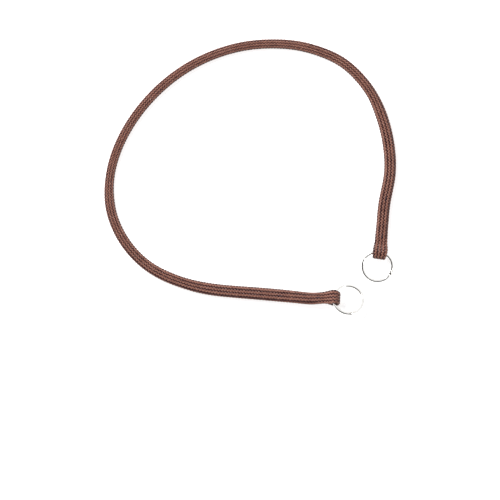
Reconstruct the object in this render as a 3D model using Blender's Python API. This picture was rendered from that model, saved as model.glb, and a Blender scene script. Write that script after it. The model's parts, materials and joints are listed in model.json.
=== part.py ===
"""A braided slip collar: one hollow nylon braid with a welded steel ring at each end.

Metres, +Z up. The collar lies on z = 0 in an open loop, and the origin is under the middle of
its box. At each end the braid folds round a ring, and its own tail goes back inside it, held by
two stitches of thread.

Most pieces are set out in strap coordinates: s along the strap from the right ring's swing axis
to the left ring's, v across it, and h above its underside. An end's own measure is e, which is
0 at its ring's swing axis and grows outwards, so the strap itself has a negative e.
"""

import math

import bmesh
import bpy
import numpy as np
from mathutils import Matrix, Vector

MM = 0.001
GAP = 0.3 * MM  # clearance between pieces that touch

# Rings
RING_OUTER = 25.0 * MM
WIRE = 2.4 * MM
RING_RADIUS = (RING_OUTER - WIRE) / 2  # to the middle of the wire
AXIS_INSET = 0.65 * MM  # the swing axis lies this far inside the wire's middle line
RING_REACH = RING_RADIUS - AXIS_INSET  # from the swing axis to the ring's centre
WELD_SWELL = 1.14  # how much thicker the wire is at its weld
WELD_PLACE = {"right": -75, "left": 75}  # degrees from the point furthest from the strap
WELD_SPAN = math.radians(9)

# Braid
LEG = 2.5 * MM  # thickness of the flattened braid where it folds round the wire
CHANNEL = 2.05 * MM  # inner radius of that fold
AXIS_HEIGHT = LEG + CHANNEL
FOLD_REACH = {"right": 1.2, "left": 1.0}  # how far each fold's round end is drawn out
THROAT = 9.0 * MM  # where the two legs of the fold meet, behind the swing axis
BURY = 92.0 * MM  # length of tail hidden inside the strap
SLEEVE_THICKNESS = 5.4 * MM  # the strap with its tail inside
STRAP_THICKNESS = 4.4 * MM  # the strap alone
TAIL_WIDTH = 5.9 * MM
TAIL_THICKNESS = 2.2 * MM
TIP_TAPER = 16.0 * MM  # the tail thins out over this length
MOUTH_RISE = 10.0 * MM  # the tail climbs into the strap over this length

# The left end is turned about the strap's own length, with its outer edge up.
END_ROLL = math.radians(-22)
ROLL_START = 50.0 * MM
ROLL_LENGTH = 40.0 * MM
ROLL_LIFT = 1.8 * MM

# Thread
THREAD = 0.6 * MM
STITCH_SPAN = 3.4 * MM
THROAT_STITCH = -12.6 * MM
LOCK_STITCH = -41.5 * MM

# The middle of the strap on the surface, in millimetres, from the right axis to the left one.
ROUTE = [
    (98.9, -58.2), (99.6, -53.0), (100.3, -45.5), (101.2, -35.0), (102.5, -21.5),
    (104.5, -11.0), (106.5, 0.0), (107.0, 10.5), (106.2, 21.0), (103.8, 34.5),
    (99.7, 48.1), (93.1, 62.5), (83.0, 76.0), (70.5, 87.0), (54.4, 94.8),
    (36.4, 99.6), (17.5, 101.0), (-2.0, 99.6), (-19.8, 95.4), (-39.2, 87.5),
    (-57.1, 76.5), (-73.6, 62.1), (-87.0, 46.1), (-97.9, 27.7), (-105.0, 8.0),
    (-107.3, -10.0), (-105.8, -26.0), (-99.8, -42.4), (-89.5, -57.5), (-76.0, -69.5),
    (-57.0, -79.0), (-35.5, -85.1), (-12.0, -88.0), (12.0, -89.9), (33.0, -92.3),
    (48.0, -94.1), (57.0, -94.1), (64.3, -94.5),
]
CENTRE = (0.3, -0.4)  # of the finished collar's box, in the same millimetres

# Width of the strap at distances from the right ring, both in millimetres.
WIDTHS = [
    (9, 10.0), (20, 9.5), (105, 9.2), (125, 8.2), (155, 7.8), (230, 7.3), (350, 7.3),
    (385, 7.2), (410, 7.9), (460, 8.3), (490, 8.7), (515, 9.5), (565, 9.9), (600, 9.8),
]

ARC_STEPS = 4  # facets of each rounded edge of a flat section
RUN_STEP = 8.5 * MM
BURY_STEP = 7.0 * MM


def ease(x):
    """0 before 0, 1 after 1, and smooth between."""
    x = min(max(x, 0.0), 1.0)
    return x * x * (3 - 2 * x)


def natural_spline(knots, values):
    """The smooth curve through values at knots, as a function of the knot's measure."""
    count, gaps = len(knots), np.diff(knots)
    system, right = np.eye(count), np.zeros((count, values.shape[1]))
    for i in range(1, count - 1):
        system[i, i - 1 : i + 2] = gaps[i - 1], 2 * (gaps[i - 1] + gaps[i]), gaps[i]
        slopes = (values[i + 1] - values[i]) / gaps[i] - (values[i] - values[i - 1]) / gaps[i - 1]
        right[i] = 6 * slopes
    bends = np.linalg.solve(system, right)

    def at(t):
        i = np.clip(np.searchsorted(knots, t) - 1, 0, count - 2)
        gap = gaps[i][:, None]
        a, b = (knots[i + 1] - t)[:, None] / gap, (t - knots[i])[:, None] / gap
        cubic = ((a**3 - a) * bends[i] + (b**3 - b) * bends[i + 1]) * gap**2 / 6
        return a * values[i] + b * values[i + 1] + cubic

    return at


def measured_route():
    """Finely spaced points of the route, and the length of strap up to each."""
    points = (np.array(ROUTE) - CENTRE) * MM
    knots = np.concatenate([[0], np.cumsum(np.linalg.norm(np.diff(points, axis=0), axis=1))])
    fine = natural_spline(knots, points)(np.linspace(0, knots[-1], 3000))
    steps = np.linalg.norm(np.diff(fine, axis=0), axis=1)
    return fine, np.concatenate([[0], np.cumsum(steps)])


POINTS, LENGTHS = measured_route()
LENGTH = float(LENGTHS[-1])


def base(s):
    """The point and the direction of the route at s, which runs straight on past both ends."""
    inside = min(max(s, 0.0), LENGTH)
    i = int(np.clip(np.searchsorted(LENGTHS, inside), 1, len(LENGTHS) - 1))
    a, b = POINTS[i - 1], POINTS[i]
    along = (b - a) / np.linalg.norm(b - a)
    return a + along * (inside - LENGTHS[i - 1] + s - inside), along


def frame(s):
    """The strap's point on its underside, its direction across and its direction up, at s."""
    point, along = base(s)
    turned = ease((s - (LENGTH - ROLL_START)) / ROLL_LENGTH)
    roll = END_ROLL * turned
    across, up = Vector((-along[1], along[0], 0)), Vector((0, 0, 1))
    origin = Vector((point[0], point[1], ROLL_LIFT * turned))
    return (
        origin,
        across * math.cos(roll) + up * math.sin(roll),
        up * math.cos(roll) - across * math.sin(roll),
    )


def place(s, v, h):
    origin, across, up = frame(s)
    return origin + across * v + up * h


def strap_width(s):
    marks = [at * MM for at, _ in WIDTHS]
    i = int(np.clip(np.searchsorted(marks, s), 1, len(marks) - 1))
    share = ease((s - marks[i - 1]) / (marks[i] - marks[i - 1]))
    return (WIDTHS[i - 1][1] * (1 - share) + WIDTHS[i][1] * share) * MM


def strap_thickness(s):
    """Thick over the buried tails, thinner between them."""
    from_end = min(s, LENGTH - s) - THROAT
    thinned = ease((from_end - BURY + TIP_TAPER) / (TIP_TAPER + 10 * MM))
    return SLEEVE_THICKNESS + (STRAP_THICKNESS - SLEEVE_THICKNESS) * thinned


def flat_section(width, thickness):
    """Outline of a flat section with round edges, as offsets across it and through it."""
    half, radius = (width - thickness) / 2, thickness / 2
    outline = []
    for edge, start in ((half, -math.pi / 2), (-half, math.pi / 2)):
        for k in range(ARC_STEPS + 1):
            angle = start + math.pi * k / ARC_STEPS
            outline.append((edge + radius * math.cos(angle), radius * math.sin(angle)))
    return outline


def material(name, colour, roughness, metallic=0.0):
    made = bpy.data.materials.new(name)
    made.use_nodes = True
    shader = made.node_tree.nodes["Principled BSDF"]
    shader.inputs["Base Color"].default_value = (*colour, 1)
    shader.inputs["Roughness"].default_value = roughness
    shader.inputs["Metallic"].default_value = metallic
    return made


def solid(name, mesh_data, finish):
    """Turns a bmesh into a named object with its faces pointing out."""
    bmesh.ops.recalc_face_normals(mesh_data, faces=mesh_data.faces)
    mesh = bpy.data.meshes.new(name)
    mesh_data.to_mesh(mesh)
    mesh_data.free()
    mesh.shade_smooth()
    mesh.set_sharp_from_angle(angle=math.radians(50))
    mesh.materials.append(finish)
    made = bpy.data.objects.new(name, mesh)
    bpy.context.scene.collection.objects.link(made)
    return made


def skin(rings, closed):
    """A bmesh of triangles between rings of points, with a flat cap at each open end.

    Four corners on a twisted strip aren't in one plane, so triangles keep a cut in it true.
    """
    made = bmesh.new()
    loops = [[made.verts.new(point) for point in ring] for ring in rings]
    pairs = list(zip(loops, loops[1:]))
    if closed:
        pairs.append((loops[-1], loops[0]))
    else:
        made.faces.new(loops[0])
        made.faces.new(loops[-1])
    for first, second in pairs:
        for k in range(len(first)):
            after = (k + 1) % len(first)
            made.faces.new((first[k], first[after], second[after], second[k]))
    bmesh.ops.triangulate(made, faces=made.faces)
    return made


def loft(name, stations, finish):
    """A flat strip along stations, each (s, h, normal's s, normal's h, width, thickness)."""
    rings = [
        [place(s + t * ns, v, h + t * nh) for v, t in flat_section(width, thickness)]
        for s, h, ns, nh, width, thickness in stations
    ]
    return solid(name, skin(rings, closed=False), finish)


def at_end(side, e):
    """The s of a point that lies e outwards from an end's swing axis."""
    return LENGTH + e if side == "left" else -e


def cutter(made):
    made.hide_render = True
    made.display_type = "WIRE"
    return made


def cut(target, tools):
    for tool in tools:
        boolean = target.modifiers.new(f"for_{tool.name}", "BOOLEAN")
        boolean.operation = "DIFFERENCE"
        boolean.solver = "MANIFOLD"
        boolean.object = tool


def strap(finish):
    """The braid between the two throats, thicker where it holds its tails."""
    first, last = THROAT + GAP, LENGTH - THROAT - GAP
    stations = []
    for s in np.linspace(first, last, round((last - first) / RUN_STEP)):
        thickness = strap_thickness(s)
        stations.append((s, thickness / 2, 0, 1, strap_width(s), thickness))
    return loft("strap_braid", stations, finish)


def fold_path(side):
    """The fold's middle line in e and h: over the wire, round it and back along the floor."""
    middle = CHANNEL + LEG / 2
    leaves = math.radians(120)
    start = Vector((-THROAT, SLEEVE_THICKNESS - LEG / 2))
    end = Vector((middle * math.cos(leaves), AXIS_HEIGHT + middle * math.sin(leaves)))
    pull = (end - start).length * 0.42
    near = start + Vector((1, 0.12)).normalized() * pull
    far = end - Vector((math.sin(leaves), -math.cos(leaves))) * pull
    path = []
    for k in range(7):
        t = k / 7
        weights = (1 - t) ** 3, 3 * t * (1 - t) ** 2, 3 * t * t * (1 - t), t**3
        path.append(weights[0] * start + weights[1] * near + weights[2] * far + weights[3] * end)
    for k in range(12):
        angle = leaves - (leaves + math.pi / 2) * k / 11
        drawn_out = FOLD_REACH[side] if math.cos(angle) > 0 else 1.0
        e, h = middle * math.cos(angle) * drawn_out, middle * math.sin(angle)
        path.append(Vector((e, AXIS_HEIGHT + h)))
    for share in (0.35, 0.7, 1.0):
        path.append(Vector((-THROAT * share, LEG / 2)))
    return path


def fold_width(share):
    """Widest just behind the wire, and drawn in where the tail goes inside."""
    marks = [(0.0, 10.0), (0.26, 11.8), (0.5, 10.0), (0.7, 10.0), (1.0, 6.3)]
    for (a, before), (b, after) in zip(marks, marks[1:]):
        if share <= b:
            return (before + (after - before) * ease((share - a) / (b - a))) * MM
    return marks[-1][1] * MM


def eye(side, finish):
    """The end of the braid, folded round the wire of its ring."""
    path = fold_path(side)
    lengths = [0.0]
    for before, after in zip(path, path[1:]):
        lengths.append(lengths[-1] + (after - before).length)
    outwards = 1 if side == "left" else -1
    stations = []
    for i, point in enumerate(path):
        way = (path[min(i + 1, len(path) - 1)] - path[max(i - 1, 0)]).normalized()
        if i in (0, len(path) - 1):
            way = Vector((1, 0)) if i == 0 else Vector((-1, 0))
        width = fold_width(lengths[i] / lengths[-1])
        stations.append((at_end(side, point.x), point.y, -way.y * outwards, way.x, width, LEG))
    return loft(f"eye_{side}", stations, finish)


def tail_stations(side, spare):
    """The tail from the throat to its tip, grown by spare on every side for its cutter."""
    stations = []
    steps = round(BURY / BURY_STEP)
    marks = [0.0, 0.2, 0.4, 0.6, 0.8] + [1 + k for k in range(steps - 1)]
    for mark in marks:
        inwards = GAP + (MOUTH_RISE * mark if mark <= 1 else MOUTH_RISE + BURY_STEP * (mark - 1))
        climb = ease((inwards - GAP) / MOUTH_RISE)
        thinned = ease((inwards - (BURY - TIP_TAPER)) / TIP_TAPER)
        width = TAIL_WIDTH * (1 - 0.45 * thinned) + 2 * spare
        thickness = (LEG + (TAIL_THICKNESS - LEG) * climb) * (1 - 0.3 * thinned) + 2 * spare
        height = LEG / 2 + (SLEEVE_THICKNESS / 2 - LEG / 2) * climb
        stations.append((at_end(side, -THROAT - inwards), height, 0, 1, width, thickness))
    return stations


def tail(side, finish):
    return loft(f"tail_{side}", tail_stations(side, 0.0), finish)


def tail_room(side, finish):
    """The hollow that the tail fills, open at the throat and on the underside near it."""
    stations = tail_stations(side, GAP)
    first, last = stations[0], stations[-1]
    outwards = 1 if side == "left" else -1
    mouth = (first[0] + 2 * MM * outwards, first[1], *first[2:])
    stop = (last[0] - GAP * outwards, *last[1:])
    return cutter(loft(f"tail_room_{side}", [mouth, *stations, stop], finish))


def stitch(name, side, middle, radius, finish):
    """A closed loop of thread along the strap: up through it, along the top, down and back."""
    half, corner = STITCH_SPAN / 2, 0.7 * MM
    low, high = THREAD / 2 + 0.1 * MM, SLEEVE_THICKNESS + 0.1 * MM
    centres = [
        (middle + half - corner, high - corner, 0),
        (middle - half + corner, high - corner, 90),
        (middle - half + corner, low + corner, 180),
        (middle + half - corner, low + corner, 270),
    ]
    path = []
    for e, h, start in centres:
        for k in range(4):
            angle = math.radians(start + 30 * k)
            turn = math.cos(angle), math.sin(angle)
            path.append((e + corner * turn[0], h + corner * turn[1], turn))
    outwards = 1 if side == "left" else -1
    rings = []
    for e, h, turn in path:
        ring = []
        for k in range(6):
            angle = math.radians(60 * k)
            out = radius * math.cos(angle)
            across = radius * math.sin(angle)
            s = at_end(side, e) + out * turn[0] * outwards
            ring.append(place(s, across, h + out * turn[1]))
        rings.append(ring)
    return solid(name, skin(rings, closed=True), finish)


def hung_ring(side):
    """The ring's swing axis and the way that it lies from there, with its rim on the floor."""
    origin, across, up = frame(at_end(side, 0))
    across = -across if side == "left" else across
    along = up.cross(across)
    axis = origin + up * AXIS_HEIGHT
    low, high = 0.0, math.radians(40)
    for _ in range(40):
        droop = (low + high) / 2
        way = along * math.cos(droop) - up * math.sin(droop)
        depth = RING_RADIUS * math.hypot(way.z, across.z)
        lowest = (axis + way * RING_REACH).z - depth - WIRE / 2
        low, high = (droop, high) if lowest > 0.02 * MM else (low, droop)
    return axis, across, along * math.cos(low) - up * math.sin(low)


def ring(side, finish):
    """A welded round ring, hung on its swing axis inside the fold."""
    bpy.ops.mesh.primitive_torus_add(
        major_radius=RING_RADIUS,
        minor_radius=WIRE / 2,
        major_segments=56,
        minor_segments=10,
        location=(0, 0, 0),
    )
    made = bpy.context.object
    made.name = f"ring_{side}"
    weld = math.radians(WELD_PLACE[side])
    for vertex in made.data.vertices:
        angle = math.atan2(vertex.co.y, vertex.co.x)
        swell = 1 + (WELD_SWELL - 1) * ease(1 - abs(angle - weld) / WELD_SPAN)
        wire_middle = Vector((math.cos(angle), math.sin(angle), 0)) * RING_RADIUS
        vertex.co = wire_middle + (vertex.co - wire_middle) * swell
        vertex.co.x += RING_REACH
    made.data.shade_smooth()
    made.data.materials.append(finish)
    axis, across, way = hung_ring(side)
    hinge = bpy.data.objects.new(f"swing_axis_{side}", None)
    hinge.empty_display_size = 10 * MM
    bpy.context.scene.collection.objects.link(hinge)
    turn = Matrix((way, across, way.cross(across))).transposed()
    hinge.matrix_world = Matrix.Translation(axis) @ turn.to_4x4()
    made.parent = hinge
    print(f"{made.name}: axis at {tuple(round(x, 5) for x in axis)},")
    print(f"  axis along {tuple(round(x, 4) for x in across)}, way {tuple(round(x, 4) for x in way)}")
    return made


def build():
    for old in list(bpy.data.objects):
        bpy.data.objects.remove(old, do_unlink=True)
    braid = material("nylon_braid", (0.13, 0.045, 0.04), 0.5)
    tail_braid = material("nylon_tail", (0.10, 0.035, 0.03), 0.6)
    thread = material("stitch_thread", (0.07, 0.03, 0.045), 0.6)
    steel = material("ring_steel", (0.82, 0.82, 0.80), 0.18, metallic=1.0)
    run = strap(braid)
    for side in ("right", "left"):
        eye(side, braid)
        buried = tail(side, tail_braid)
        rooms = []
        for kind, middle in (("throat", THROAT_STITCH), ("lock", LOCK_STITCH)):
            name = f"{kind}_stitch_{side}"
            stitch(name, side, middle, THREAD / 2, thread)
            room = stitch(f"{name}_room", side, middle, THREAD / 2 + GAP, thread)
            rooms.append(cutter(room))
        cut(run, [tail_room(side, braid), *rooms])
        cut(buried, rooms)
        ring(side, steel)
    print(f"strap between the swing axes: {LENGTH * 1000:.1f} mm")


build()
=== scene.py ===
# %% [markdown]
# # A braided slip collar
#
# The real object is one length of hollow nylon braid with a welded steel ring at each end. Each
# end is folded round its ring and pushed back inside the hollow strap, and two stitches of
# thread keep it there. It lies on a table in an open loop.
#
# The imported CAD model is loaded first. Everything made here goes where that model says, in
# metres, and rides on one of its three bodies: the strap and the two rings.

import json
import math

import bpy
import numpy as np
from mathutils import Matrix, Vector


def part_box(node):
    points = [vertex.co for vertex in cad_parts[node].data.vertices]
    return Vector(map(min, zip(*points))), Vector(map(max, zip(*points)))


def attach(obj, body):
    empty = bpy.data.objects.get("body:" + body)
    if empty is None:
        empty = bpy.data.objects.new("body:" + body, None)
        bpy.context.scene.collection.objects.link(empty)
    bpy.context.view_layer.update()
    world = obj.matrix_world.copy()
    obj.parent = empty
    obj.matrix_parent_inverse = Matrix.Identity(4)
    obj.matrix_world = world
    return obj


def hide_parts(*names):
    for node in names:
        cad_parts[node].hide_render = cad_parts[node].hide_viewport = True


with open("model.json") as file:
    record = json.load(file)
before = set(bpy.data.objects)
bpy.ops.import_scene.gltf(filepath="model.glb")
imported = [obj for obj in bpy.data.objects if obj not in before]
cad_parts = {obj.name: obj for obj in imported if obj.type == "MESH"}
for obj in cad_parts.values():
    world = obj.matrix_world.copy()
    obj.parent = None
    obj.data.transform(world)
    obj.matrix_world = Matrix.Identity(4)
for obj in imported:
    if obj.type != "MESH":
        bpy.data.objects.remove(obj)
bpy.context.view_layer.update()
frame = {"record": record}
MM = 0.001

# %% [markdown]
# ## The camera
#
# The collar is seen from straight above, a little below the middle of the loop. A long lens
# far away keeps the rings and the strap free of perspective, as a copy stand does. A shifted
# lens could do the same, but a camera over the middle of its own picture is simpler.

# %% Camera
VIEW_WIDTH = 381.1 * MM
VIEW_CENTRE = (-0.15 * MM, -55.8 * MM)
VIEW_LEVEL = 3 * MM  # the middle of the strap, where the view is that wide
LENS_MM, SENSOR_MM = 135.0, 36.0

camera = bpy.data.objects.new("camera", bpy.data.cameras.new("camera"))
bpy.context.scene.collection.objects.link(camera)
camera.data.lens = LENS_MM
camera.data.sensor_width = SENSOR_MM
camera.location = (*VIEW_CENTRE, VIEW_WIDTH * LENS_MM / SENSOR_MM + VIEW_LEVEL)
camera.data.clip_start, camera.data.clip_end = 0.05, 20.0
bpy.context.scene.camera = camera
print(f"camera {camera.location.z:.3f} m above the table")

# %% [markdown]
# ## The strap's route
#
# A limp cord has no shape of its own, so the way that it lies is a set of given points with a
# smooth curve through them. The points go from the swing axis of the right ring round
# to that of the left one.

# %% Route
ROUTE = [  # in mm
    (98.9, -58.2), (99.6, -53.0), (100.3, -45.5), (101.2, -35.0), (102.5, -21.5),
    (104.5, -11.0), (106.5, 0.0), (107.0, 10.5), (106.2, 21.0), (103.8, 34.5),
    (99.7, 48.1), (93.1, 62.5), (83.0, 76.0), (70.5, 87.0), (54.4, 94.8),
    (36.4, 99.6), (17.5, 101.0), (-2.0, 99.6), (-19.8, 95.4), (-39.2, 87.5),
    (-57.1, 76.5), (-73.6, 62.1), (-87.0, 46.1), (-97.9, 27.7), (-105.0, 8.0),
    (-107.3, -10.0), (-105.8, -26.0), (-99.8, -42.4), (-89.5, -57.5), (-76.0, -69.5),
    (-57.0, -79.0), (-35.5, -85.1), (-12.0, -88.0), (12.0, -89.9), (33.0, -92.3),
    (48.0, -94.1), (57.0, -94.1), (64.3, -94.5),
]
ROUTE_CENTRE = (0.3, -0.4)  # where the frame's origin is, in the same mm
print(len(ROUTE), "points")

# %% [markdown]
# ## A smooth curve through the points
#
# A natural cubic spline is the curve that a thin springy lath takes through the same points,
# and it turns gently, as braid does. A Bezier curve object would do for a plain tube, but
# sixteen yarns have to follow this line, so it is worked out as numbers.


# %% Natural spline
def natural_spline(knots, values):
    """The smooth curve through values at knots, as a function of the knot's measure."""
    count, gaps = len(knots), np.diff(knots)
    system, right = np.eye(count), np.zeros((count, values.shape[1]))
    for i in range(1, count - 1):
        system[i, i - 1 : i + 2] = gaps[i - 1], 2 * (gaps[i - 1] + gaps[i]), gaps[i]
        after = (values[i + 1] - values[i]) / gaps[i]
        right[i] = 6 * (after - (values[i] - values[i - 1]) / gaps[i - 1])
    bends = np.linalg.solve(system, right)

    def at(t):
        i = np.clip(np.searchsorted(knots, t) - 1, 0, count - 2)
        gap = gaps[i][:, None]
        a, b = (knots[i + 1] - t)[:, None] / gap, (t - knots[i])[:, None] / gap
        cubic = ((a**3 - a) * bends[i] + (b**3 - b) * bends[i + 1]) * gap**2 / 6
        return a * values[i] + b * values[i + 1] + cubic

    return at


def running_length(points):
    """The distance along a chain of points, at each of them."""
    steps = np.linalg.norm(np.diff(points, axis=0), axis=1)
    return np.concatenate([[0.0], np.cumsum(steps)])


# %% The strap's middle line
LINE_POINTS = 6000

given = (np.array(ROUTE) - ROUTE_CENTRE) * MM
given_at = running_length(given)
LINE = natural_spline(given_at, given)(np.linspace(0, given_at[-1], LINE_POINTS))
LINE_AT = running_length(LINE)
LENGTH = float(LINE_AT[-1])
HEADING = np.unwrap(np.arctan2(*np.gradient(LINE, axis=0).T[::-1]))
print(f"strap between the swing axes: {LENGTH / MM:.1f} mm")

# %% [markdown]
# ## Strap coordinates
#
# It is far easier to think along the strap than in X, Y and Z: s is the distance along it, v
# the distance to its left, and h the height above its underside. `place` turns those three
# into a point. The last 50 mm at the left end are rolled about their own length, so that its
# outer edge is up.

# %% Strap coordinates
END_ROLL = math.radians(-22)
ROLL_START, ROLL_LENGTH, ROLL_LIFT = 50 * MM, 40 * MM, 1.8 * MM


def ease(x):
    """0 before 0, 1 after 1, and smooth between."""
    x = np.clip(x, 0.0, 1.0)
    return x * x * (3 - 2 * x)


def axes_at(s):
    """Origin, direction across and direction up of the strap at each s."""
    s = np.asarray(s, float)
    inside = np.clip(s, 0.0, LENGTH)
    heading = np.interp(inside, LINE_AT, HEADING)
    x = np.interp(inside, LINE_AT, LINE[:, 0]) + np.cos(heading) * (s - inside)
    y = np.interp(inside, LINE_AT, LINE[:, 1]) + np.sin(heading) * (s - inside)
    turned = ease((s - (LENGTH - ROLL_START)) / ROLL_LENGTH)
    roll, flat = END_ROLL * turned, np.zeros_like(s)
    left = np.stack([-np.sin(heading), np.cos(heading), flat], axis=-1)
    high = np.stack([flat, flat, flat + 1.0], axis=-1)
    cos, sin = np.cos(roll)[..., None], np.sin(roll)[..., None]
    origin = np.stack([x, y, ROLL_LIFT * turned], axis=-1)
    return origin, left * cos + high * sin, high * cos - left * sin


def place(s, v, h):
    """The point at s along the strap, v to its left and h above its underside."""
    origin, across, up = axes_at(s)
    return origin + across * np.asarray(v)[..., None] + up * np.asarray(h)[..., None]


both_ends = place(np.array([0.0, LENGTH]), np.zeros(2), np.zeros(2))
print("ends in mm:", np.round(both_ends / MM, 1).tolist())

# %% [markdown]
# ## The path of the braid
#
# The braid is longer than the strap that shows. It starts at the tip of one tail, deep inside
# the strap, comes out at the throat, goes round the wire, turns into the strap itself, and at
# the other end does the same the other way round. Each end is drawn in its own side view: e
# is the distance out from the ring's swing axis, and h the height.
#
# Every point of the path also has the width and thickness that the braid has there. It is
# pressed flat round the wire, and it swells where it holds its own tail. One path for the whole
# braid lets each yarn run unbroken from tip to tip, as it does in the real one. Separate pieces
# for strap, folds and tails would need their yarns matched at every joint.

# %% Sizes of the strap
LEG, CHANNEL = 2.5 * MM, 2.05 * MM  # thickness and inner radius of the fold
AXIS_HEIGHT = LEG + CHANNEL
THROAT = 9.0 * MM
BURY = 92.0 * MM
SLEEVE_THICKNESS, STRAP_THICKNESS = 5.4 * MM, 4.4 * MM
WIDTHS = np.array([  # mm along the strap, and mm wide
    (0, 10.0), (9, 10.0), (20, 9.5), (105, 9.2), (125, 8.2), (155, 7.8), (230, 7.3), (350, 7.3),
    (385, 7.2), (410, 7.9), (460, 8.3), (490, 8.7), (515, 9.5), (565, 9.9), (600, 9.8), (615, 9.8),
]) * MM
STEP = 0.25 * MM  # from point to point of the path


def eased_table(x, marks, values):
    """The value at x, easing from each mark's value to the next."""
    i = np.clip(np.searchsorted(marks, x), 1, len(marks) - 1)
    share = ease((x - marks[i - 1]) / (marks[i] - marks[i - 1]))
    return values[i - 1] * (1 - share) + values[i] * share


print(f"strap {WIDTHS[:, 1].min() / MM:.1f} to {WIDTHS[:, 1].max() / MM:.1f} mm wide")

# %% [markdown]
# ## The tail
#
# The tail goes in at the throat, climbs to the middle of the hollow strap, and thins out at its
# tip, because a blunt end would show as a step on the outside.

# %% The tail
NECK_WIDTH = 6.3 * MM  # where the fold becomes the tail
TAIL_WIDTH, TAIL_THICKNESS = 5.9 * MM, 2.2 * MM
MOUTH_RISE, TIP_TAPER = 10.0 * MM, 16.0 * MM
TIP_NARROWS, TIP_THINS = 0.45, 0.3


def tail_path():
    """From the throat to the tip, as rows of e, h, width and thickness."""
    inwards = np.arange(STEP, BURY, STEP)
    climb = ease(inwards / MOUTH_RISE)
    thinned = ease((inwards - (BURY - TIP_TAPER)) / TIP_TAPER)
    width = (NECK_WIDTH + (TAIL_WIDTH - NECK_WIDTH) * climb) * (1 - TIP_NARROWS * thinned)
    thickness = (LEG + (TAIL_THICKNESS - LEG) * climb) * (1 - TIP_THINS * thinned)
    h = LEG / 2 + (SLEEVE_THICKNESS / 2 - LEG / 2) * climb
    return np.stack([-THROAT - inwards, h, width, thickness], axis=1)


print("tail:", len(tail_path()), "points")

# %% [markdown]
# ## The fold
#
# The fold is a teardrop in side view: a round end about the wire, a straight leg below that
# lies on the table, and an upper leg that sweeps down from the top of the strap. The sweep is a
# cubic Bezier curve, which leaves each end in the direction asked for.

# %% The fold
FOLD_LEAVES = math.radians(120)
FOLD_REACH = {"right": 1.2, "left": 1.0}  # how far each fold's round end is drawn out
FOLD_WIDTHS = np.array([(0.0, 10.0), (0.26, 11.8), (0.5, 10.0), (0.7, 10.0), (1.0, NECK_WIDTH / MM)])
SWEEP_PULL, SWEEP_RISE = 0.42, 0.12  # how far each handle reaches, and the strap's slope there
LOWER_LEG_START = -0.3 * MM
ARC_POINTS, SWEEP_POINTS, LEG_POINTS = 60, 40, 30


def fold_outline(reach):
    """The middle of the braid round the wire, in e and h."""
    middle = CHANNEL + LEG / 2
    start = np.array([-THROAT, SLEEVE_THICKNESS - LEG / 2])
    turn = np.linspace(FOLD_LEAVES, -math.pi / 2, ARC_POINTS)
    arc = np.stack([np.cos(turn), np.sin(turn)], axis=1) * middle + [0, AXIS_HEIGHT]
    arc[:, 0] *= np.where(arc[:, 0] > 0, reach, 1.0)
    pull = np.linalg.norm(arc[0] - start) * SWEEP_PULL
    near = start + np.array([1.0, SWEEP_RISE]) / math.hypot(1, SWEEP_RISE) * pull
    far = arc[0] - np.array([math.sin(FOLD_LEAVES), -math.cos(FOLD_LEAVES)]) * pull
    t = np.linspace(0, 1, SWEEP_POINTS, endpoint=False)[:, None]
    sweep = (1 - t) ** 3 * start + 3 * t * (1 - t) ** 2 * near
    sweep += 3 * t * t * (1 - t) * far + t**3 * arc[0]
    leg_e = np.linspace(LOWER_LEG_START, -THROAT, LEG_POINTS)
    leg = np.stack([leg_e, np.full(LEG_POINTS, LEG / 2)], axis=1)
    return np.concatenate([sweep, arc, leg])


def fold_path(side):
    """From above the throat, round the wire and back to below it, in the same four columns."""
    rough = fold_outline(FOLD_REACH[side])
    length = running_length(rough)
    at = np.linspace(0, length[-1], round(length[-1] / STEP))
    e, h = (np.interp(at, length, rough[:, k]) for k in (0, 1))
    width = eased_table(at / length[-1], FOLD_WIDTHS[:, 0], FOLD_WIDTHS[:, 1]) * MM
    return np.stack([e, h, width, np.full_like(e, LEG)], axis=1)


for side in FOLD_REACH:
    print(f"{side} fold reaches {fold_path(side)[:, 0].max() / MM:.1f} mm past the axis")

# %% [markdown]
# ## The run between the throats
#
# The strap is thick where it holds a tail and thinner where it is empty. Just behind each
# throat it is still flat from the fold, and it fills out over about 10 mm.

# %% The run
OPENS_FROM, OPENS_TO = 6.5 * MM, 17.0 * MM  # behind the axis, where the flat leg fills out
EMPTIES_OVER = TIP_TAPER + 10 * MM


def run_path():
    """From the right throat to the left one, as rows of s, h, width and thickness."""
    s = np.linspace(THROAT, LENGTH - THROAT, round((LENGTH - 2 * THROAT) / STEP))[1:-1]
    end = np.minimum(s, LENGTH - s)
    thinned = ease((end - THROAT - BURY + TIP_TAPER) / EMPTIES_OVER)
    full = SLEEVE_THICKNESS + (STRAP_THICKNESS - SLEEVE_THICKNESS) * thinned
    opened = ease((end - OPENS_FROM) / (OPENS_TO - OPENS_FROM))
    thickness = LEG + (full - LEG) * opened
    leg_height = SLEEVE_THICKNESS - LEG / 2
    h = leg_height + (full / 2 - leg_height) * opened
    width = eased_table(s, WIDTHS[:, 0], WIDTHS[:, 1])
    return np.stack([s, h, width, thickness], axis=1)


RUN = run_path()
print("run:", len(RUN), "points")

# %% [markdown]
# ## From tip to tip
#
# Tail, fold, run, fold and tail are laid end to end. Their widths and thicknesses meet with a
# small step, which a sliding average evens out. At each point the braid then has a place, a way
# along, a way across, and a way out of its upper face.

# %% The whole path
SOFTEN_OVER = 25  # points

right_end = np.concatenate([fold_path("right"), tail_path()])[::-1]
left_end = np.concatenate([fold_path("left"), tail_path()])
right_end[:, 0] = -right_end[:, 0]
left_end[:, 0] = LENGTH + left_end[:, 0]
S, H, WIDTH, THICKNESS = np.concatenate([right_end, RUN, left_end]).T


def softened(values):
    weights = np.hanning(SOFTEN_OVER) / np.hanning(SOFTEN_OVER).sum()
    padded = np.pad(values, SOFTEN_OVER // 2, mode="edge")
    return np.convolve(padded, weights, mode="valid")


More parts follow.
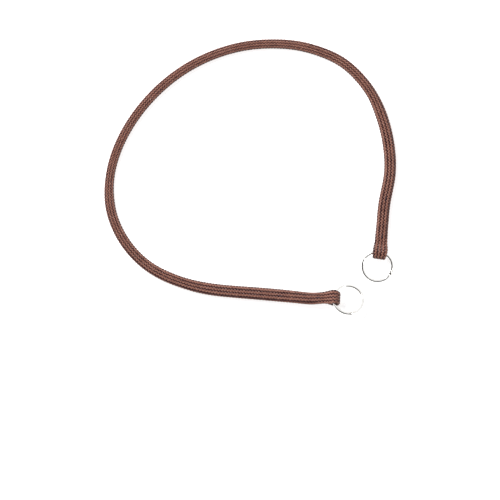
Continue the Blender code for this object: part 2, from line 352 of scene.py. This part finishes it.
def unit(vectors):
    return vectors / np.linalg.norm(vectors, axis=1)[:, None]


WIDTH, THICKNESS = softened(WIDTH), softened(THICKNESS)
MIDDLE = place(S, np.zeros_like(S), H)
BRAID_AT = running_length(MIDDLE)
ALONG = unit(np.gradient(MIDDLE, axis=0))
ACROSS = axes_at(S)[1]
OUTWARD = unit(np.cross(ALONG, ACROSS))
print(f"braid from tail tip to tail tip: {BRAID_AT[-1] / MM:.0f} mm")

# %% [markdown]
# ## Sixteen yarns
#
# A hollow braid is made on a round machine: eight bobbins go round one way and eight the
# other, and each goes over one and under the next. So a yarn is a helix round the flat tube,
# with a wave in and out. At `turn` of a revolution round the section the wave is
# cos(16 pi turn), which puts every yarn of one direction on top at the even columns and every
# yarn of the other direction at the odd ones.
#
# Two neighbouring columns lean on each other, and that pair is one of the raised rows that run
# along the strap, with a furrow on either side. The second wave, sin(16 pi turn), is that row.

# %% Sizes of the braid
WALL = 1.45 * MM
WAVE = 0.30 * MM  # how far a yarn goes in and out of the middle of the wall
RIDGE = 0.17 * MM  # how far two neighbouring columns rise together into a row
YARN_THICKNESS = 0.86 * MM
YARN_FILL = 0.95  # how much of the room between its neighbours a yarn takes
BUMP_PITCH = 2.3 * MM  # from one bump to the next along a row
REVOLUTION = 8 * BUMP_PITCH
STEPS_PER_CROSSING = 4
SIDES = 8
CARRIERS = 8  # each way round
print(f"a yarn goes once round in {REVOLUTION / MM:.1f} mm")

# %% [markdown]
# ## Round a flat tube
#
# The section of the strap is a flat outline with round edges. A yarn has to go round it at a
# steady pace, so the share of the way round is turned into a point and an outward way. An
# ellipse has a shorter formula, but a braid pressed flat has flat faces.


# %% Round a flat tube
def round_flat(turn, width, thickness):
    """The point at that share of the way round a flat round-edged outline, and its outward way.

    It starts in the middle of the upper face and goes to the left edge first.
    """
    flat, radius = np.maximum(width - thickness, 0.0), thickness / 2
    edge = math.pi * radius
    whole = 2 * flat + 2 * edge
    go = np.mod(turn, 1.0) * whole
    v, n = np.empty_like(go), np.empty_like(go)
    out_v, out_n = np.zeros_like(go), np.zeros_like(go)
    stops = np.stack([flat / 2, flat / 2 + edge, 1.5 * flat + edge, 1.5 * flat + 2 * edge])
    top = go < stops[0]
    left = (go >= stops[0]) & (go < stops[1])
    under = (go >= stops[1]) & (go < stops[2])
    right = (go >= stops[2]) & (go < stops[3])
    last = go >= stops[3]
    v[top], n[top], out_n[top] = go[top], radius[top], 1.0
    v[under] = flat[under] / 2 - (go - stops[1])[under]
    n[under], out_n[under] = -radius[under], -1.0
    v[last] = -flat[last] / 2 + (go - stops[3])[last]
    n[last], out_n[last] = radius[last], 1.0
    for side, start, sign in ((left, stops[0], 1), (right, stops[2], -1)):
        angle = (go - start)[side] / radius[side]
        out_v[side], out_n[side] = sign * np.sin(angle), sign * np.cos(angle)
        v[side] = sign * flat[side] / 2 + radius[side] * out_v[side]
        n[side] = radius[side] * out_n[side]
    return v, n, out_v, out_n, whole


half_way = round_flat(np.array([0.5]), np.array([8 * MM]), np.array([4 * MM]))
print(f"half way round an 8 x 4 mm tube is {half_way[1][0] / MM:.1f} mm from its middle")

# %% [markdown]
# ## The line of a yarn
#
# Two numbers place a yarn: how far along the braid it is, and how far round. Both grow at a
# steady pace, one way round for eight of the yarns and the other way for the rest. The point
# on the tube's outline is then moved in and out by the two waves. Where the tube is small the
# yarns have less room side by side, so the room is worked out at every step.


# %% The line of a yarn
def along_braid(values, at):
    """Values known at the path's points, at other distances along it."""
    if values.ndim == 1:
        return np.interp(at, BRAID_AT, values)
    return np.stack([np.interp(at, BRAID_AT, values[:, k]) for k in range(3)], axis=1)


def yarn_line(index, way):
    """Centre points of a yarn, the way out of the wall at each, its room sideways, and how high
    it is on its crossing and on its row, both from -1 to 1."""
    step = REVOLUTION / (2 * CARRIERS * STEPS_PER_CROSSING)
    at = np.arange(0.0, BRAID_AT[-1], step)
    turn = index / CARRIERS + way * at / REVOLUTION
    width, thickness = along_braid(WIDTH, at), along_braid(THICKNESS, at)
    v, n, out_v, out_n, whole = round_flat(turn, width - WALL, thickness - WALL)
    crown = way * np.cos(2 * CARRIERS * math.pi * turn)
    row = np.sin(2 * CARRIERS * math.pi * turn)
    across, outward = along_braid(ACROSS, at), along_braid(OUTWARD, at)
    out = across * out_v[:, None] + outward * out_n[:, None]
    centre = along_braid(MIDDLE, at) + across * v[:, None] + outward * n[:, None]
    slant = np.arctan2(whole, REVOLUTION)
    room = whole / CARRIERS * np.cos(slant)
    return centre + out * (WAVE * crown + RIDGE * row)[:, None], out, room, crown, row


sample_line = yarn_line(0, 1)[0]
print(f"one yarn is {running_length(sample_line)[-1] / MM:.0f} mm long")

# %% [markdown]
# ## The mesh of a yarn
#
# Each yarn is a real closed mesh of its own: a flattened ring of points is placed at every
# step of its line, turned to lie in the braid's wall, and the rings are joined. A displaced
# tube would be lighter, but close by it has no gaps between its yarns and no true edge. A
# curve with a bevel can't be turned to lie flat in the wall at every step.
#
# The mesh gets a UV map of its own, with metres along the yarn in U and once round it in V,
# and the colours are worked out from that and from a few values kept at each point.


# %% Mesh of a tube
def tube_mesh(name, centre, out, half_width, half_thickness, sides):
    """A closed mesh of flattened rings along centre, with its own UV map."""
    forward = unit(np.gradient(centre, axis=0))
    sideways = unit(np.cross(out, forward))
    lift = np.cross(forward, sideways)
    angle = np.arange(sides) * 2 * math.pi / sides
    ring = (
        centre[:, None, :]
        + sideways[:, None, :] * (np.cos(angle)[None, :] * half_width[:, None])[..., None]
        + lift[:, None, :] * (np.sin(angle)[None, :] * half_thickness[:, None])[..., None]
    )
    count = len(centre)
    points = np.concatenate([ring.reshape(-1, 3), centre[:1], centre[-1:]])
    i, k = np.meshgrid(np.arange(count - 1), np.arange(sides), indexing="ij")
    a, b = i * sides + k, i * sides + (k + 1) % sides
    quads = np.stack([a, b, b + sides, a + sides], axis=-1).reshape(-1, 4)
    first, last = count * sides, count * sides + 1
    end = (count - 1) * sides
    caps = [(first, (j + 1) % sides, j) for j in range(sides)]
    caps += [(last, end + j, end + (j + 1) % sides) for j in range(sides)]
    mesh = bpy.data.meshes.new(name)
    mesh.from_pydata(points.tolist(), [], quads.tolist() + caps)
    run = running_length(centre)
    corners = np.zeros((len(quads) * 4 + len(caps) * 3, 2))
    corners[: len(quads) * 4, 0] = run[np.stack([i, i, i + 1, i + 1], axis=-1)].reshape(-1)
    corners[: len(quads) * 4, 1] = np.stack([k, k + 1, k + 1, k], axis=-1).reshape(-1) / sides
    corners[len(quads) * 4 :, 0] = np.repeat([run[0], run[-1]], 3 * sides)
    layer = mesh.uv_layers.new(name="along_yarn")
    layer.data.foreach_set("uv", corners.astype(np.float32).ravel())
    mesh.shade_smooth()
    return mesh


def linked(name, mesh):
    made = bpy.data.objects.new(name, mesh)
    bpy.context.scene.collection.objects.link(made)
    return made


def keep_at_points(mesh, name, values):
    layer = mesh.attributes.new(name, "FLOAT", "POINT")
    layer.data.foreach_set("value", values.astype(np.float32))


# %% [markdown]
# ## No two yarns alike
#
# No two yarns carry quite the same tension, so each is a little fuller here and there. Random
# numbers at every 24th step, with straight lines between them, are enough. The random numbers
# start from a fixed seed, and the braid is the same on every run.

# %% Make the yarns
FULLER_EVERY = 24  # steps
FULLER_WIDTH, FULLER_THICKNESS = 0.035, 0.03
FULL_ROOM, THINNEST = 1.5 * MM, 0.62  # where a yarn has less room than this it gets thinner

yarns = []
chance = np.random.default_rng(7)
for way in (1, -1):
    for index in range(CARRIERS):
        centre, out, room, crown, row = yarn_line(index, way)
        knots = chance.normal(0.0, 1.0, len(centre) // FULLER_EVERY + 3)
        steps = np.arange(len(centre)) / FULLER_EVERY
        drift = np.interp(steps, np.arange(len(knots)), knots)
        half_width = room / 2 * YARN_FILL * (1 + FULLER_WIDTH * drift)
        thinned = np.clip(room / FULL_ROOM, THINNEST, 1.0)
        half_thickness = YARN_THICKNESS / 2 * thinned * (1 + FULLER_THICKNESS * drift)
        name = f"yarn_{'left' if way > 0 else 'right'}_{index + 1}"
        mesh = tube_mesh(name, centre, out, half_width, half_thickness, SIDES)
        # crown and row also set the painted highlight and painted shade in the nylon's colour
        for label, values in (("crown", crown), ("row", row), ("tint", drift)):
            round_it = np.concatenate([np.repeat(values, SIDES), values[:1], values[-1:]])
            keep_at_points(mesh, label, round_it)
        yarns.append(linked(name, mesh))
print(f"{len(yarns)} yarns of {len(yarns[0].data.polygons)} faces")

# %% [markdown]
# ## What the yarns stand for
#
# The CAD model has plain solids for the strap, its two folded eyes and its two buried tails. On
# the real collar they are one braid, so the sixteen yarns stand for all five, and all sixteen
# move with the strap.

# %% The yarns ride on the strap
for yarn in yarns:
    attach(yarn, "strap")
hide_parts("strap_braid", "eye_right", "eye_left", "tail_right", "tail_left")
lowest = min(vertex.co.z for yarn in yarns for vertex in yarn.data.vertices)
print(f"lowest point of the yarns: z = {lowest / MM:.2f} mm")

# %% [markdown]
# ## The welded rings
#
# The rings are round steel wire, bent to a circle, butt-welded and then plated. The weld stays
# as a small swelling with a shallow waist in the middle. A torus is the bent wire, and three
# sizes of the points near the weld make the swelling. A Boolean union with a bead would leave
# a hard line that plating doesn't have.
#
# The ring is modelled once, flat at the origin with its weld at +X, and copied for the other end.

# %% One ring
RING_RADIUS, WIRE_RADIUS = 11.3 * MM, 1.2 * MM
WELD_REACH = 1.6 * MM
WELD_SIZES = ((1.0, 1.07), (0.62, 1.07), (0.3, 0.975))  # share of the reach, and swell


def select_near_weld(mesh, reach):
    for vertex in mesh.vertices:
        vertex.select = abs(vertex.co.y) < reach and vertex.co.x > 0


def swell_weld(made, reach, size):
    """Enlarges the stretch of wire within that reach of the weld, about the weld's middle."""
    bpy.ops.object.mode_set(mode="EDIT")
    bpy.ops.mesh.select_mode(type="VERT")
    bpy.ops.mesh.select_all(action="DESELECT")
    bpy.ops.object.mode_set(mode="OBJECT")
    select_near_weld(made.data, reach)
    bpy.ops.object.mode_set(mode="EDIT")
    bpy.ops.transform.resize(value=(size, size, size), center_override=(RING_RADIUS, 0, 0))
    bpy.ops.object.mode_set(mode="OBJECT")


bpy.ops.object.select_all(action="DESELECT")
bpy.ops.mesh.primitive_torus_add(
    major_radius=RING_RADIUS,
    minor_radius=WIRE_RADIUS,
    major_segments=160,
    minor_segments=28,
    location=(0, 0, 0),
)
first_ring = bpy.context.object
for share, size in WELD_SIZES:
    swell_weld(first_ring, WELD_REACH * share, size)
weld = Vector((RING_RADIUS, 0, 0))
distance = np.array([(vertex.co - weld).length for vertex in first_ring.data.vertices])
keep_at_points(first_ring.data, "weld", 1 - ease(distance / (2 * WELD_REACH)))
bpy.ops.object.shade_smooth()
print(f"ring {first_ring.dimensions.y / MM:.1f} mm across, weld {2 * WELD_REACH / MM:.1f} mm long")

# %% [markdown]
# ## Each ring goes into its fold
#
# A ring leans: it hangs in its fold at one side and lies on the table at the other. Its place
# is worked out from the CAD model, so that both agree: the hinge gives the axis through the
# fold, the middle of the CAD ring's box is its centre, and the way from one to the other is the
# ring's own X. The place is then applied to the mesh.

# %% Both rings
WELD_PLACE = {"right": -75, "left": 75}  # degrees from the point furthest from the strap
HINGES = {joint["name"]: joint for joint in frame["record"]["behaviour"]["joints"]}


def ring_place(side):
    """Turns a ring made flat at the origin, far point at +X, to where the CAD ring is."""
    hinge = HINGES[f"{side}_ring_swing"]
    axis = Vector(hinge["axis"]).normalized()
    low, high = (Vector(corner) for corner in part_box(f"ring_{side}"))
    centre = (low + high) / 2
    away = centre - Vector(hinge["pos_m"])
    away = (away - axis * away.dot(axis)).normalized()
    turned = Matrix((away, axis, away.cross(axis))).transposed()
    return Matrix.Translation(centre) @ turned.to_4x4()


rings = {"right": first_ring, "left": linked("second_ring", first_ring.data.copy())}
for side, ring in rings.items():
    bpy.ops.object.select_all(action="DESELECT")
    ring.select_set(True)
    bpy.context.view_layer.objects.active = ring
    ring.name = f"welded_{side}_ring"
    ring.matrix_world = ring_place(side) @ Matrix.Rotation(math.radians(WELD_PLACE[side]), 4, "Z")
    bpy.ops.object.transform_apply(location=True, rotation=True, scale=True)
    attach(ring, f"{side}_ring")
    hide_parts(f"ring_{side}")
    points = np.array([vertex.co for vertex in ring.data.vertices])
    low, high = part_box(f"ring_{side}")
    off = max(np.abs(points.min(axis=0) - low).max(), np.abs(points.max(axis=0) - high).max())
    print(f"{ring.name}: at most {off / MM:.2f} mm off the CAD ring's box")

# %% [markdown]
# ## The stitches
#
# Two stitches at each end hold the tail inside the strap: one right behind the fold, and one
# further along. Each is two passes of thread, over the strap, down through it, under it and up
# again. The thread itself is two plies laid round each other, and each ply is a tube along a
# helix. A single smooth tube would look like wire.

# %% Outline of a stitch
THREAD_RADIUS, PLY_RADIUS = 0.3 * MM, 0.165 * MM
STITCH_SPAN, STITCH_CORNER = 3.4 * MM, 0.7 * MM
BELOW_THREAD, ABOVE_STRAP = 0.1 * MM, 0.12 * MM
CORNER_STEPS = 6


def stitch_outline():
    """The rounded rectangle that the thread goes round, in e and h about the stitch's middle."""
    low, high = THREAD_RADIUS + BELOW_THREAD, SLEEVE_THICKNESS + ABOVE_STRAP
    half, corner = STITCH_SPAN / 2, STITCH_CORNER
    centres = [
        (half - corner, high - corner, 0),
        (corner - half, high - corner, 90),
        (corner - half, low + corner, 180),
        (half - corner, low + corner, 270),
    ]
    points = []
    for e, h, start in centres:
        for k in range(CORNER_STEPS + 1):
            angle = math.radians(start + 90 / CORNER_STEPS * k)
            points.append((e + corner * math.cos(angle), h + corner * math.sin(angle)))
    return np.array(points + points[:1])


OUTLINE = stitch_outline()
OUTLINE_AT = running_length(OUTLINE)
print(f"one pass of thread is {OUTLINE_AT[-1] / MM:.1f} mm")

# %% [markdown]
# ## One stitch
#
# The thread goes round the outline twice and moves a little sideways all the while, so that the
# passes lie beside each other. Each ply circles the thread's own middle as it goes. The two
# plies are then joined into one piece.

# %% One stitch
STITCH_PASSES = 2
PASS_SPREAD = 2.4 * THREAD_RADIUS  # how far the passes lie apart, first to last
PLY_LAY = 1.1 * MM  # length of one turn of the two plies about each other
THREAD_STEP = 0.07 * MM


def stitch_thread(name, side, middle):
    """A few passes of a two-ply thread round the outline, as one mesh."""
    travelled = np.arange(0, STITCH_PASSES * OUTLINE_AT[-1], THREAD_STEP)
    e, h = (np.interp(travelled % OUTLINE_AT[-1], OUTLINE_AT, OUTLINE[:, k]) for k in (0, 1))
    v = (travelled / travelled[-1] - 0.5) * PASS_SPREAD
    s = LENGTH + middle + e if side == "left" else -(middle + e)
    centre = place(s, v, h)
    forward = unit(np.gradient(centre, axis=0))
    aside = axes_at(s)[1]
    aside = unit(aside - forward * np.sum(aside * forward, axis=1)[:, None])
    out = np.cross(forward, aside)
    bpy.ops.object.select_all(action="DESELECT")
    for start in (0.0, math.pi):
        angle = (start + 2 * math.pi * travelled / PLY_LAY)[:, None]
        way = aside * np.cos(angle) + out * np.sin(angle)
        line = centre + way * (THREAD_RADIUS - PLY_RADIUS)
        radius = np.full(len(line), PLY_RADIUS)
        ply = linked(name, tube_mesh(name, line, way, radius, radius, SIDES))
        ply.select_set(True)
        bpy.context.view_layer.objects.active = ply
    bpy.ops.object.join()
    bpy.context.object.name = name
    return bpy.context.object


# %% [markdown]
# ## All four stitches
#
# The stitches are alike, but the left end is rolled and the strap curves, so each is made along
# its own stretch of the strap and not copied.

# %% All four stitches
STITCH_PLACE = {"throat": -12.6 * MM, "lock": -41.5 * MM}  # from the ring's swing axis

stitches = []
for side in ("right", "left"):
    for kind, middle in STITCH_PLACE.items():
        stitch = stitch_thread(f"{kind}_thread_{side}", side, middle)
        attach(stitch, "strap")
        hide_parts(f"{kind}_stitch_{side}")
        stitches.append(stitch)
print([stitch.name for stitch in stitches], len(stitches[0].data.polygons), "faces each")

# %% [markdown]
# ## Short ways to write node trees
#
# A material made by hand is a web of boxes and wires. Written out call by call it is long and
# hard to read, so one small class adds a node, wires it or sets its number, and gives back its
# output. Everything after this reads like a sum.


# %% A node tree
class Tree:
    """A node tree with short ways to add to it. A value is a number, a colour or a socket."""

    def __init__(self, tree):
        self.tree, self.nodes = tree, tree.nodes

    def put(self, value, socket):
        if isinstance(value, bpy.types.NodeSocket):
            self.tree.links.new(value, socket)
        else:
            socket.default_value = value

    def add(self, kind, inputs=None, **settings):
        made = self.nodes.new(kind)
        for label, setting in settings.items():
            setattr(made, label, setting)
        for label, value in (inputs or {}).items():
            self.put(value, made.inputs[label])
        return made

    def math(self, operation, *values):
        made = self.add("ShaderNodeMath", operation=operation)
        for socket, value in zip(made.inputs, values):
            self.put(value, socket)
        return made.outputs[0]

    def attribute(self, name):
        return self.add("ShaderNodeAttribute", attribute_name=name).outputs["Fac"]

    def noise(self, where, scale, detail):
        inputs = {"Vector": where, "Scale": scale, "Detail": detail}
        return self.add("ShaderNodeTexNoise", inputs).outputs["Fac"]

    def ramp(self, amount, *stops):
        """A colour ramp through stops of a position and a colour, first to last."""
        made = self.add("ShaderNodeValToRGB", {"Fac": amount})
        elements = made.color_ramp.elements
        for element, (position, colour) in ((elements[0], stops[0]), (elements[1], stops[-1])):
            element.position, element.color = position, (*colour, 1)
        for position, colour in stops[1:-1]:
            elements.new(position).color = (*colour, 1)
        return made.outputs["Color"]

    def bump(self, height, strength, distance):
        inputs = {"Height": height, "Strength": strength, "Distance": distance}
        return self.add("ShaderNodeBump", inputs).outputs["Normal"]


def new_finish(name):
    """A new material, its tree, and its Principled shader's inputs."""
    made = bpy.data.materials.new(name)
    made.use_nodes = True
    return made, Tree(made.node_tree), made.node_tree.nodes["Principled BSDF"].inputs


# %% [markdown]
# ## Filaments
#
# A nylon yarn isn't one thick thread: it is a bundle of filaments thinner than a hair, all
# along it. They show as fine light and dark streaks and as fine ridges. Both the yarns and the
# stitching thread need them, so they are one node group, with the number of filaments round the
# yarn and the streaks' length as its inputs. The pattern follows the yarn's own UV map, because
# a pattern in space would cut across the yarns.


# %% The filaments group
def filament_group():
    group = bpy.data.node_groups.new("filaments", "ShaderNodeTree")
    for label, usual in (("Filaments", 14.0), ("Per metre", 160.0)):
        socket = group.interface.new_socket(label, in_out="INPUT", socket_type="NodeSocketFloat")
        socket.default_value = usual
    for label in ("Streak", "Height"):
        group.interface.new_socket(label, in_out="OUTPUT", socket_type="NodeSocketFloat")
    tree = Tree(group)
    given, result = tree.add("NodeGroupInput").outputs, tree.add("NodeGroupOutput").inputs
    where = tree.add("ShaderNodeUVMap", uv_map="along_yarn").outputs["UV"]
    split = tree.add("ShaderNodeSeparateXYZ", {"Vector": where}).outputs
    along = tree.math("MULTIPLY", split["X"], given["Per metre"])
    around = tree.math("MULTIPLY", split["Y"], given["Filaments"])
    joined = tree.add("ShaderNodeCombineXYZ", {"X": along, "Y": around}).outputs["Vector"]
    streak = tree.noise(joined, scale=1.6, detail=3.0)
    ridge = tree.math("PINGPONG", around, 0.5)
    tree.put(streak, result["Streak"])
    tree.put(tree.math("ADD", ridge, streak), result["Height"])
    return group


FILAMENTS = filament_group()
print("group", FILAMENTS.name, "has", [item.name for item in FILAMENTS.interface.items_tree])

# %% [markdown]
# ## Maroon nylon, with painted highlight and shade
#
# The braid's own dye is deep maroon. On top of it the colour is painted copper on the crown of
# each crossing, along each row and on the outer side of each yarn, and darker in the dips and
# furrows between, where the light would not get in between the filaments: that is painted
# highlight and painted shade. So one value says how far out a point is, added up from its
# crossing, its row and its side of the yarn, with the streaks and the yarn's own tint on top, and
# a ramp of three colours turns it into colour, from the maroon dye up to a painted copper
# highlight. A plain noise could vary the colour too, but it wouldn't know where the crossings are.

# %% The dye, with painted highlight and shade
# crown, row and side amounts lighten the colour as painted highlight and darken it as painted shade;
# tint and streak are the yarns' own tone
BASE, CROWN_PAINTED_LIGHT, ROW_PAINTED_LIGHT = 0.36, 0.30, 0.48
SIDE_PAINTED_LIGHT, TINT_LIGHT, STREAK_LIGHT = 0.20, 0.05, 1.7
# from the deep maroon dye up to a painted copper highlight
DYE_TO_PAINTED_HIGHLIGHT = (
    (0.10, (0.020, 0.005, 0.010)),
    (0.56, (0.052, 0.014, 0.017)),
    (1.00, (0.310, 0.135, 0.098)),
)

nylon, tree, shader = new_finish("maroon_nylon")
lines = tree.add("ShaderNodeGroup", node_tree=FILAMENTS).outputs
yarn_map = tree.add("ShaderNodeUVMap", uv_map="along_yarn").outputs["UV"]
around = tree.add("ShaderNodeSeparateXYZ", {"Vector": yarn_map}).outputs["Y"]
# painted light: the outer side of each yarn is made lighter and its inner side darker
painted_light_on_outer_side = tree.math("SINE", tree.math("MULTIPLY", around, 2 * math.pi))
streak = tree.math("SUBTRACT", lines["Streak"], 0.5)
# painted highlight on the crown of each crossing, painted shade in the dips between
light = tree.math("MULTIPLY_ADD", tree.attribute("crown"), CROWN_PAINTED_LIGHT, BASE)
# painted highlight along each raised row, painted shade in the furrows between rows
light = tree.math("MULTIPLY_ADD", tree.attribute("row"), ROW_PAINTED_LIGHT, light)
light = tree.math("MULTIPLY_ADD", painted_light_on_outer_side, SIDE_PAINTED_LIGHT, light)
light = tree.math("MULTIPLY_ADD", tree.attribute("tint"), TINT_LIGHT, light)
light = tree.math("MULTIPLY_ADD", streak, STREAK_LIGHT, light)
tree.put(tree.ramp(light, *DYE_TO_PAINTED_HIGHLIGHT), shader["Base Color"])
print("dye worked out by", len(tree.nodes), "nodes")

# %% [markdown]
# ## The sheen of nylon
#
# Filaments mirror a lamp as a bar across themselves, not as a spot. That is anisotropy, with its
# tangent along the yarn. The light streaks are also smoother than the dark ones, so the bar
# breaks up into fine lines. A clear coat would give a spot, and the look of moulded plastic.

# %% The sheen
tree.put(tree.math("MULTIPLY_ADD", lines["Streak"], -0.2, 0.44), shader["Roughness"])
tree.put(tree.bump(lines["Height"], strength=0.9, distance=0.1 * MM), shader["Normal"])
grain = tree.add("ShaderNodeTangent", direction_type="UV_MAP", uv_map="along_yarn")
tree.put(grain.outputs["Tangent"], shader["Tangent"])
shader["Anisotropic"].default_value = 0.8
shader["Anisotropic Rotation"].default_value = 0.25
shader["IOR"].default_value = 1.6
shader["Specular IOR Level"].default_value = 0.3
shader["Specular Tint"].default_value = (1.0, 0.84, 0.76, 1)
for yarn in yarns:
    yarn.data.materials.append(nylon)
print(nylon.name, "has", len(tree.nodes), "nodes")

# %% [markdown]
# ## Bright nickel
#
# Nickel plate is a mirror with a warm grey in it. What keeps it from looking like a drawing of
# a mirror is unevenness: clouds where handling has dulled it, a fine grain left by the polishing
# drum, and the weld, where the plate is thin, browner and rougher. The first two are noise in
# the ring's own coordinates, and the last is the value kept at its points.

# %% Nickel
CLOUDS, GRAIN = 260.0, 2600.0  # noise per metre
DULL_PLATE, BRIGHT_PLATE, THIN_PLATE = (0.80, 0.79, 0.77), (0.90, 0.89, 0.87), (0.50, 0.45, 0.38)

nickel, tree, shader = new_finish("bright_nickel")
where = tree.add("ShaderNodeTexCoord").outputs["Object"]
cloud = tree.noise(where, scale=CLOUDS, detail=4.0)
drum = tree.noise(where, scale=GRAIN, detail=2.0)
at_weld = tree.attribute("weld")
plate = tree.ramp(cloud, (0.3, DULL_PLATE), (0.7, BRIGHT_PLATE))
thin = tree.add("ShaderNodeMix", data_type="RGBA")
tree.put(tree.math("MULTIPLY", at_weld, 0.55), thin.inputs["Factor"])
tree.put(plate, thin.inputs["A"])
tree.put((*THIN_PLATE, 1), thin.inputs["B"])
tree.put(thin.outputs["Result"], shader["Base Color"])
dulled = tree.math("MULTIPLY_ADD", cloud, 0.12, 0.03)
tree.put(tree.math("MULTIPLY_ADD", at_weld, 0.22, dulled), shader["Roughness"])
tree.put(tree.bump(drum, strength=0.25, distance=0.02 * MM), shader["Normal"])
shader["Metallic"].default_value = 1.0
for ring in rings.values():
    ring.data.materials.append(nickel)
print(nickel.name, "has", len(tree.nodes), "nodes")

# %% [markdown]
# ## Thread
#
# The stitches are bonded polyester: darker than the braid, a little purple, and duller. The
# same filaments are used, fewer of them round each ply and shorter.

# %% Thread
DARK_DYE, PALE_DYE = (0.018, 0.008, 0.014), (0.10, 0.045, 0.06)

thread, tree, shader = new_finish("bonded_thread")
group = tree.add("ShaderNodeGroup", node_tree=FILAMENTS)
tree.put(9.0, group.inputs["Filaments"])
tree.put(400.0, group.inputs["Per metre"])
lines = group.outputs
tree.put(tree.ramp(lines["Streak"], (0.3, DARK_DYE), (0.75, PALE_DYE)), shader["Base Color"])
tree.put(tree.math("MULTIPLY_ADD", lines["Streak"], -0.2, 0.6), shader["Roughness"])
tree.put(tree.bump(lines["Height"], strength=0.7, distance=0.04 * MM), shader["Normal"])
for stitch in stitches:
    stitch.data.materials.append(thread)
print(thread.name, "has", len(tree.nodes), "nodes")

# %% [markdown]
# ## The strap lies free
#
# The strap is limp and lies free. Its real length runs from the swing axis of one ring to that
# of the other.

# %% [markdown]
# ## Floor
#
# The collar lies on plain white. A white floor under soft light still renders as light grey,
# because it only gives back what falls on it. Some light of its own lifts it to white, and
# leaves just the faintest shadow under the strap. It lies a hair below the strap, so that no
# yarn dips into it.

# %% Floor
FLOOR_SIZE, FLOOR_DROP = 6.0, 0.2 * MM

bpy.ops.object.select_all(action="DESELECT")
bpy.ops.mesh.primitive_plane_add(size=FLOOR_SIZE, location=(0, 0, -FLOOR_DROP))
floor = bpy.context.object
floor.name = "floor"
white, tree, shader = new_finish("pale_floor")
shader["Base Color"].default_value = (0.8, 0.8, 0.8, 1)
shader["Roughness"].default_value = 0.9
shader["Specular IOR Level"].default_value = 0.2
shader["Emission Color"].default_value = (1, 1, 1, 1)
shader["Emission Strength"].default_value = 0.8
floor.data.materials.append(white)
print("floor", tuple(floor.dimensions[:2]))

# %% [markdown]
# ## Lamps
#
# Two soft boxes stand on opposite sides, the stronger one at the upper left. They are far from
# the collar and small for their distance, so the braid's bumps keep a light and a dark side.

# %% Lamps
LAMP_RISE, LAMP_DISTANCE, LAMP_SIZE = math.radians(48), 2.2, 0.35


def soft_box(name, azimuth, watts):
    """A square lamp that looks at the middle of the loop; azimuth 0 is along +X."""
    a = math.radians(azimuth)
    aside, height = math.cos(LAMP_RISE), math.sin(LAMP_RISE)
    where = Vector((math.cos(a) * aside, math.sin(a) * aside, height)) * LAMP_DISTANCE
    lamp = bpy.data.lights.new(name, "AREA")
    lamp.energy, lamp.size = watts, LAMP_SIZE
    made = bpy.data.objects.new(name, lamp)
    made.location = where
    made.rotation_euler = (-where).to_track_quat("-Z", "Y").to_euler()
    bpy.context.scene.collection.objects.link(made)
    return made


for lamp in (soft_box("key", 135, 55), soft_box("fill", -45, 10)):
    print(lamp.name, lamp.data.energy, "W at", [round(c, 2) for c in lamp.location])

# %% [markdown]
# ## The room
#
# A mirror shows its room, and a bright ring in an all-white room can't be seen. A real studio
# has a dark side, here at the lower left, and is dimmer near the floor than overhead. So the
# world is three in one, told apart by the kind of ray: dim where it lights the braid, white
# where the camera sees it, and with its dark side where something mirrors it.

# %% The room
DARK_AZIMUTH, DARK_RISE = math.radians(235), 0.45
WHITE, DARK = (1, 1, 1), (0.03, 0.03, 0.03)

world = bpy.data.worlds.new("studio")
world.use_nodes = True
tree = Tree(world.node_tree)
lighting = tree.nodes["Background"]
lighting.inputs["Strength"].default_value = 0.25
way = tree.add("ShaderNodeTexCoord").outputs["Generated"]
toward_dark = tree.add("ShaderNodeVectorMath", operation="DOT_PRODUCT")
tree.put(way, toward_dark.inputs[0])
dark_way = Vector((math.cos(DARK_AZIMUTH), math.sin(DARK_AZIMUTH), DARK_RISE)).normalized()
tree.put(dark_way, toward_dark.inputs[1])
wall = tree.ramp(toward_dark.outputs["Value"], (0.44, WHITE), (0.66, DARK))
height = tree.add("ShaderNodeSeparateXYZ", {"Vector": way}).outputs["Z"]
span = {"Value": height, "From Min": 0.0, "From Max": 0.45, "To Min": 0.55, "To Max": 1.1}
overhead = tree.add("ShaderNodeMapRange", span).outputs["Result"]
mirrored = tree.add("ShaderNodeBackground", {"Color": wall, "Strength": overhead})
backdrop = tree.add("ShaderNodeBackground", {"Color": (*WHITE, 1)})
print("dark side toward", np.round(dark_way, 2).tolist())

# %% [markdown]
# ## Which room for which ray
#
# The Light Path node knows what kind of ray has reached the world. Two mix shaders choose by
# it: a mirror's ray gets the mirrored room, a ray from the camera gets the white backdrop, and
# every other ray gets the dim light. The Standard view then shows the colours as they are. A
# film-like view would turn the white floor grey.

# %% Which room for which ray
ray = tree.add("ShaderNodeLightPath").outputs
unseen = tree.add("ShaderNodeMixShader", {0: ray["Is Glossy Ray"]})
tree.put(lighting.outputs[0], unseen.inputs[1])
tree.put(mirrored.outputs[0], unseen.inputs[2])
room = tree.add("ShaderNodeMixShader", {0: ray["Is Camera Ray"]})
tree.put(unseen.outputs[0], room.inputs[1])
tree.put(backdrop.outputs[0], room.inputs[2])
tree.put(room.outputs[0], tree.nodes["World Output"].inputs["Surface"])
bpy.context.scene.world = world
bpy.context.scene.view_settings.view_transform = "Standard"
print("world", world.name, "has", len(tree.nodes), "nodes")
